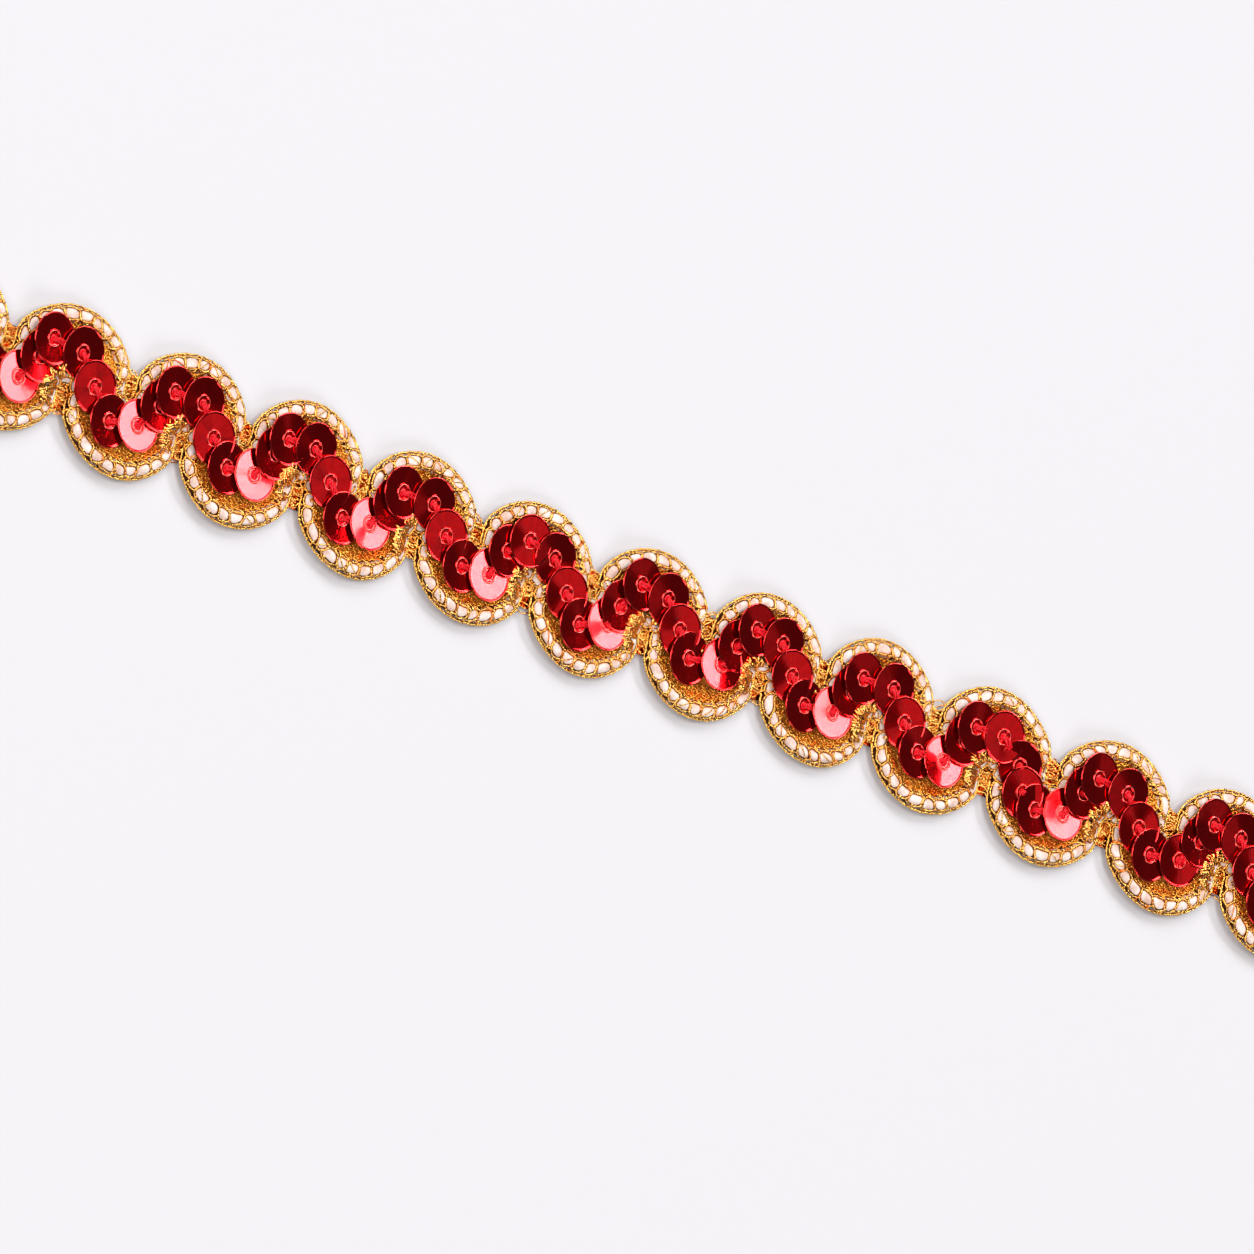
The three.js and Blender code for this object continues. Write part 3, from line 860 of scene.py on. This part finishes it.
# along and across from the axis of the wave's upper lobe, in mm; level is the centre's height;
# lean is how far the disc tips forward along the strand and roll how far it tips to its left, degrees
SEQUINS = [
    {"name": "crest_first", "along": -3.40, "across": 3.20, "level": 2.24, "lean": 6.0, "roll": 0.0},
    {"name": "crest_second", "along": 0.86, "across": 3.15, "level": 2.10, "lean": 6.5, "roll": 0.0},
    {"name": "down", "along": 3.57, "across": 0.15, "level": 2.06, "lean": 2.0, "roll": 0.0},
    {"name": "trough_first", "along": 6.35, "across": -2.55, "level": 2.04, "lean": 6.3, "roll": 0.0},
    {"name": "trough_second", "along": 10.40, "across": -1.98, "level": 2.02, "lean": 6.1, "roll": 0.0},
    {"name": "up", "along": 12.40, "across": 1.10, "level": 2.03, "lean": 2.4, "roll": 3.8},
]
# how far along and across each wave's sequins are sewn from those places, in mm, as in the solids
SEWN = [
    {"wave": 0, "crest_first": (-0.4, 0.2), "crest_second": (-0.4, 0.1), "down": (-0.4, 0), "trough_first": (-0.2, -0.2), "trough_second": (-0.4, 0.1), "up": (0, 0)},
    {"wave": 1, "crest_first": (0, 0), "crest_second": (-0.1, 0.1), "down": (0, 0), "trough_first": (0.2, 0.2), "trough_second": (0, 0), "up": (0, 0)},
    {"wave": 2, "crest_first": (-0.3, -0.1), "crest_second": (-0.6, 0.1), "down": (-0.4, 0.4), "trough_first": (-0.4, -0.1), "trough_second": (-0.6, 0), "up": (0, 0)},
    {"wave": 3, "crest_first": (-0.3, -0.4), "crest_second": (0, -0.2), "down": (0, -0.1), "trough_first": (0.3, 0.1), "trough_second": (0.2, -0.2), "up": (0.1, 0.3)},
    {"wave": 4, "crest_first": (1.3, 0.3), "crest_second": (1, -0.4), "down": (1, -0.5), "trough_first": (0.8, -0.5), "trough_second": (0.5, 0.1), "up": (-0.3, -0.6)},
    {"wave": 5, "crest_first": (0.5, 0.5), "crest_second": (0.4, 0.2), "down": (0.3, 0.3), "trough_first": (-0.2, 0.4), "trough_second": (0.4, 0.5), "up": (0, 0)},
    {"wave": 6, "crest_first": (0.6, 0.4), "crest_second": (0.4, 0.1), "down": (0, 0), "trough_first": (-0.3, 0.1), "trough_second": (-0.1, 0), "up": (0, 0)},
    {"wave": 7, "crest_first": (-0.2, -0.2), "crest_second": (0.2, 0), "down": (0.1, 0), "trough_first": (0.1, 0.2), "trough_second": (0, -0.1), "up": (0, 0)},
    {"wave": 8, "crest_first": (-0.3, -0.3), "crest_second": (-0.4, 0), "down": (-0.1, 0.7), "trough_first": (0.3, -0.4), "trough_second": (0, -0.1), "up": (0, 0)},
    {"wave": 9, "crest_first": (0, 0), "crest_second": (0.1, -0.3), "down": (0, -0.4), "trough_first": (-0.4, 0), "trough_second": (-0.3, 0.1), "up": (0, 0)},
    {"wave": 10, "crest_first": (-0.1, 0.3), "crest_second": (-0.1, 0.1), "down": (0, 0), "trough_first": (0, 0), "trough_second": (0, 0), "up": (0, 0)},
]
# sequins that lie otherwise than the rest
TIPPED = [
    {"wave": 4, "name": "crest_first", "level": 2.24, "lean": 1.5, "roll": 1.4},
    {"wave": 5, "name": "trough_second", "level": 2.04, "lean": 3.8, "roll": -1.3},
    {"wave": 8, "name": "crest_second", "level": 2.16, "lean": 2.0, "roll": -0.2},
    {"wave": 8, "name": "down", "level": 2.06, "lean": 2.0, "roll": 5.0},
    {"wave": 8, "name": "trough_first", "level": 2.14, "lean": 5.0, "roll": 0.0},
    {"wave": 9, "name": "trough_second", "level": 2.06, "lean": 0.5, "roll": 2.0},
]
# a second disc caught under the thread in one wave
DOUBLED = {"wave": 8, "after": "down", "along": 4.45, "across": -1.75, "level": 2.19, "lean": 2.0}
# profile of the foil from the hole outwards and back under: radius and height, in mm
PROFILE = [
    (0.50, -0.020), (0.55, 0.000), (0.58, 0.000), (0.71, 0.000), (0.745, 0.004), (0.81, 0.066), (0.87, 0.098),
    (0.93, 0.068), (0.995, 0.006), (1.03, 0.002), (1.06, 0.003), (2.72, 0.0460), (2.77, 0.0475), (2.81, 0.054),
    (2.87, 0.100), (2.93, 0.118), (3.00, 0.070), (2.98, 0.020), (2.93, -0.003), (2.88, -0.008), (0.60, -0.070),
    (0.56, -0.070), (0.50, -0.055),
]


def sequin_frames():
    out = []
    r0 = np.random.default_rng(4021)
    sewn = {row["wave"]: row for row in SEWN}
    for w in range(FIRST, LAST + 1):
        for q, sq in enumerate(SEQUINS):
            x = w * WAVE + sq["along"]
            jx, jy, jl, jr = r0.normal(0, 0.04), r0.normal(0, 0.04), r0.normal(0, 0.4), r0.normal(0, 0.25)
            if sq["name"] == "trough_second":  # these are held on both sides and lie most alike
                jl, jr = 0.35 * jl, 0.35 * jr
            if x - 2.5 < FIRST * WAVE or x + 2.5 > LAST * WAVE:
                continue
            dx, dy = sewn[w][sq["name"]] if w in sewn else (0, 0)
            px, py = place(np.array(x + dx), np.array(sq["across"] + dy))
            lie = next((row for row in TIPPED if row["wave"] == w and row["name"] == sq["name"]), sq)
            out.append({"c": np.array([float(px) + jx, float(py) + jy, lie["level"]]), "q": q,
                        "lean": lie["lean"] + jl, "roll": lie["roll"] + jr})
            if w == DOUBLED["wave"] and sq["name"] == DOUBLED["after"]:
                px, py = place(np.array(w * WAVE + DOUBLED["along"]), np.array(DOUBLED["across"]))
                out.append({"c": np.array([float(px), float(py), DOUBLED["level"]]), "q": q,
                            "lean": DOUBLED["lean"], "roll": 0.0})
    for i, f in enumerate(out):
        nxt = out[i + 1]["c"] if i + 1 < len(out) else 2 * f["c"] - out[i - 1]["c"]
        f["next"] = nxt
        a, c = SEQUINS[f["q"]], SEQUINS[(f["q"] + 1) % 6]
        turn = WAVE if f["q"] == 5 else 0
        head = math.atan2(c["across"] - a["across"], c["along"] + turn - a["along"])
        m = Matrix.Rotation(head, 3, "Z") @ Matrix.Rotation(math.radians(f["lean"]), 3, "Y") @ Matrix.Rotation(
            math.radians(f["roll"]), 3, "X")
        up = np.array(m.col[2])
        ahead = nxt - f["c"]
        ahead = ahead - up * (ahead @ up)
        ahead /= np.linalg.norm(ahead)
        f["m"] = np.stack([ahead, np.cross(up, ahead), up], -1)
    return out


FRAMES = sequin_frames()


def build_sequins():
    b = Builder()
    seg = 48
    prof = np.array(PROFILE)
    n = len(prof)
    th = 2 * np.pi * np.arange(seg) / seg
    r0 = np.random.default_rng(88)
    for k, f in enumerate(FRAMES):
        wobble = 0.006 * np.sin(2 * th + r0.uniform(0, 6.3)) + 0.005 * np.sin(3 * th + r0.uniform(0, 6.3))
        r = prof[:, 0][:, None] * np.ones(seg)[None, :]
        z = prof[:, 1][:, None] + wobble[None, :] * np.clip(prof[:, 0][:, None] - 1.0, 0, 2)
        local = np.stack([r * np.cos(th), r * np.sin(th), z], -1).reshape(-1, 3)
        pts = local @ f["m"].T + f["c"]
        behind = np.where(np.arange(n) >= 18, 4.0, 0.0)[:, None]
        data = np.stack([14 * np.cos(th)[None, :] + 0 * r, 14 * np.sin(th)[None, :] + 0 * r, 0.35 * r + 9.7 * k + behind], -1)
        i = np.arange(n)[:, None]
        j = np.arange(seg)[None, :]
        i2, j2 = (i + 1) % n, (j + 1) % seg
        quads = np.stack([i * seg + j, i2 * seg + j, i2 * seg + j2, i * seg + j2], -1).reshape(-1, 4)
        b.add(pts, quads, None, data.reshape(-1, 3))
    return b.make("sequins", FOIL)


def build_thread():
    """The thread that holds each sequin: up through its hole, forward over it and under the next."""
    b = Builder()
    r0 = np.random.default_rng(311)
    for f in FRAMES:
        gap = math.hypot(*(f["next"] - f["c"])[:2])
        reach = min(gap - 3.0 + 0.6, 2.2)
        for k in range(5):
            n = 9
            v = np.linspace(0, 1, n)
            a = 2 * np.pi * (k / 5 + 0.42 * (reach + 0.3) * v / 2.2) + 1.3 * f["q"]
            x = -0.24 + (reach + 0.24) * v
            y = (0.15 + 0.16 * np.clip(v * 1.6, 0, 1)) * np.cos(a) + 0.015 * r0.normal()
            z = -0.12 + 0.35 * np.sin(np.clip(v * 1.9, 0, 1) * np.pi / 2) - 0.22 * np.clip((v - 0.45) / 0.55, 0, 1)
            z = z + 0.075 * np.sin(a) - (0.10 * v if f["q"] >= 4 else 0)
            local = np.stack([x, y, z], -1)
            p = local @ f["m"].T + f["c"]
            up = np.tile(f["m"][:, 2], (n, 1))
            b.strand(p, up, 0.10, 0.09, 5, tone=r0.uniform(0, 1))
        seg, rings = 14, 4
        th = 2 * np.pi * np.arange(seg) / seg
        rr = np.linspace(0.52, 0.10, rings)
        bump = 0.03 * np.sin(5 * th + r0.uniform(0, 6.3))
        top = np.stack([np.stack([r * np.cos(th), r * np.sin(th), -0.10 + 0.05 * (1 - (r / 0.52) ** 2) + bump * (r / 0.52)], -1)
                        for r in rr])
        low = np.stack([0.48 * np.cos(th), 0.48 * np.sin(th), np.full(seg, -0.22)], -1)
        pts = np.concatenate([top.reshape(-1, 3), low, [[0, 0, -0.05]], [[0, 0, -0.24]]])
        quads, tris = [], []
        for a in range(rings - 1):
            for c in range(seg):
                d = (c + 1) % seg
                quads.append([a * seg + c, a * seg + d, (a + 1) * seg + d, (a + 1) * seg + c])
        o = rings * seg
        for c in range(seg):
            d = (c + 1) % seg
            quads.append([o + c, o + d, d, c])
            tris.append([(rings - 1) * seg + c, (rings - 1) * seg + d, o + seg])
            tris.append([o + d, o + c, o + seg + 1])
        pts = pts @ f["m"].T + f["c"]
        b.add(pts, quads, tris, np.array([[0.1, 0.1, 0.5]]))
    return b.make("sewing_thread", THREAD)


sequins = build_sequins()
thread = build_thread()

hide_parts("braid")
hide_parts("sequin_strand")

# ------------------------------------------------------------------ floor, camera and light
floor_mesh = bpy.data.meshes.new("floor")
E = 1.6
floor_mesh.from_pydata([(-E, -E, -0.00003), (E, -E, -0.00003), (E, E, -0.00003), (-E, E, -0.00003)], [], [(0, 1, 2, 3)])
floor = bpy.data.objects.new("floor", floor_mesh)
bpy.context.scene.collection.objects.link(floor)
fm, fnt, fb = new_material("floor_paper")
fb.inputs["Base Color"].default_value = (0.619, 0.607, 0.635, 1)
fb.inputs["Roughness"].default_value = 0.9
fb.inputs["Specular IOR Level"].default_value = 0.1
floor_mesh.materials.append(fm)

TILT = math.radians(37.8)
RIGHT = Vector((0.9496, 0.3135, 0))  # the table's direction that lies to the right in the picture
UPWARD = Vector((-0.3135, 0.9496, 0))  # and up
AIM = Vector((-2.7, -1.37, 1.0)) * MM
FRAME_H = 139.3 * MM
cam = bpy.data.cameras.new("camera")
cam.type = "PERSP"
cam.sensor_fit = "AUTO"
cam.sensor_width = 36
cam.lens = 1200
back = (-RIGHT * math.sin(TILT) + Vector((0, 0, 1)) * math.cos(TILT)).normalized()
cam_x = UPWARD.cross(back).normalized()
distance = FRAME_H * cam.lens / cam.sensor_width
cam_obj = bpy.data.objects.new("camera", cam)
cam_obj.matrix_world = Matrix((
    (cam_x.x, UPWARD.x, back.x, AIM.x + back.x * distance),
    (cam_x.y, UPWARD.y, back.y, AIM.y + back.y * distance),
    (cam_x.z, UPWARD.z, back.z, AIM.z + back.z * distance),
    (0, 0, 0, 1)))
cam.clip_start, cam.clip_end = 0.05, 50
bpy.context.scene.collection.objects.link(cam_obj)
bpy.context.scene.camera = cam_obj


def toward(right_deg, up_deg):
    """A direction in the sky, by how far it leans to the picture's right and to its top."""
    return (RIGHT * math.tan(math.radians(right_deg)) + UPWARD * math.tan(math.radians(up_deg)) + Vector((0, 0, 1))).normalized()


APART = 2.3  # how many times farther, and larger, the lights are than the distances and sizes below


def soft(name, right_deg, up_deg, far, size, radiance, colour=(1, 1, 1), size_y=None):
    """An area light of a given surface brightness, facing the trim; far enough that both ends see it alike."""
    far, size, size_y = far * APART, size * APART, size_y and size_y * APART
    d = toward(right_deg, up_deg)
    light = bpy.data.lights.new(name, "AREA")
    light.shape = "RECTANGLE" if size_y else "DISK"
    light.size = size
    if size_y:
        light.size_y = size_y
    area = size * size_y if size_y else math.pi * size * size / 4
    light.energy = radiance * area * math.pi
    light.color = colour
    o = bpy.data.objects.new(name, light)
    o.location = AIM + d * far
    o.rotation_mode = "QUATERNION"
    o.rotation_quaternion = d.to_track_quat("Z", "Y")
    bpy.context.scene.collection.objects.link(o)
    return o


soft("key", 47, 8.7, 1.5, 0.19, 36.5, (1.0, 1.0, 0.92), size_y=0.18)
soft("key_wide", 42, 38, 1.6, 0.68, 8.4, (0.97, 1.0, 1.03))
soft("overhead", -4, 8, 1.5, 0.72, 5.7, (1.0, 0.985, 0.975))
soft("fill_left", -48, 12, 1.5, 0.81, 7.3, (1.0, 0.985, 0.975))
soft("fill_front", 2, -50, 1.5, 0.67, 6.4, (1.0, 0.985, 0.97))
soft("fill_back", -14, 50, 1.5, 0.72, 6.7, (1.0, 0.985, 0.98))
soft("ceiling", 38.6, -3.5, 1.9, 0.22, 0.52, size_y=0.28)
soft("ceiling_low", 50, -13.5, 1.9, 0.27, 0.20, size_y=0.23)

world = bpy.data.worlds.new("studio")
bpy.context.scene.world = world
world.use_nodes = True
world.node_tree.nodes["Background"].inputs[0].default_value = (0.75, 0.76, 0.80, 1)
world.node_tree.nodes["Background"].inputs[1].default_value = 0.12
bpy.context.scene.view_settings.view_transform = "Standard"

bpy.context.view_layer.update()
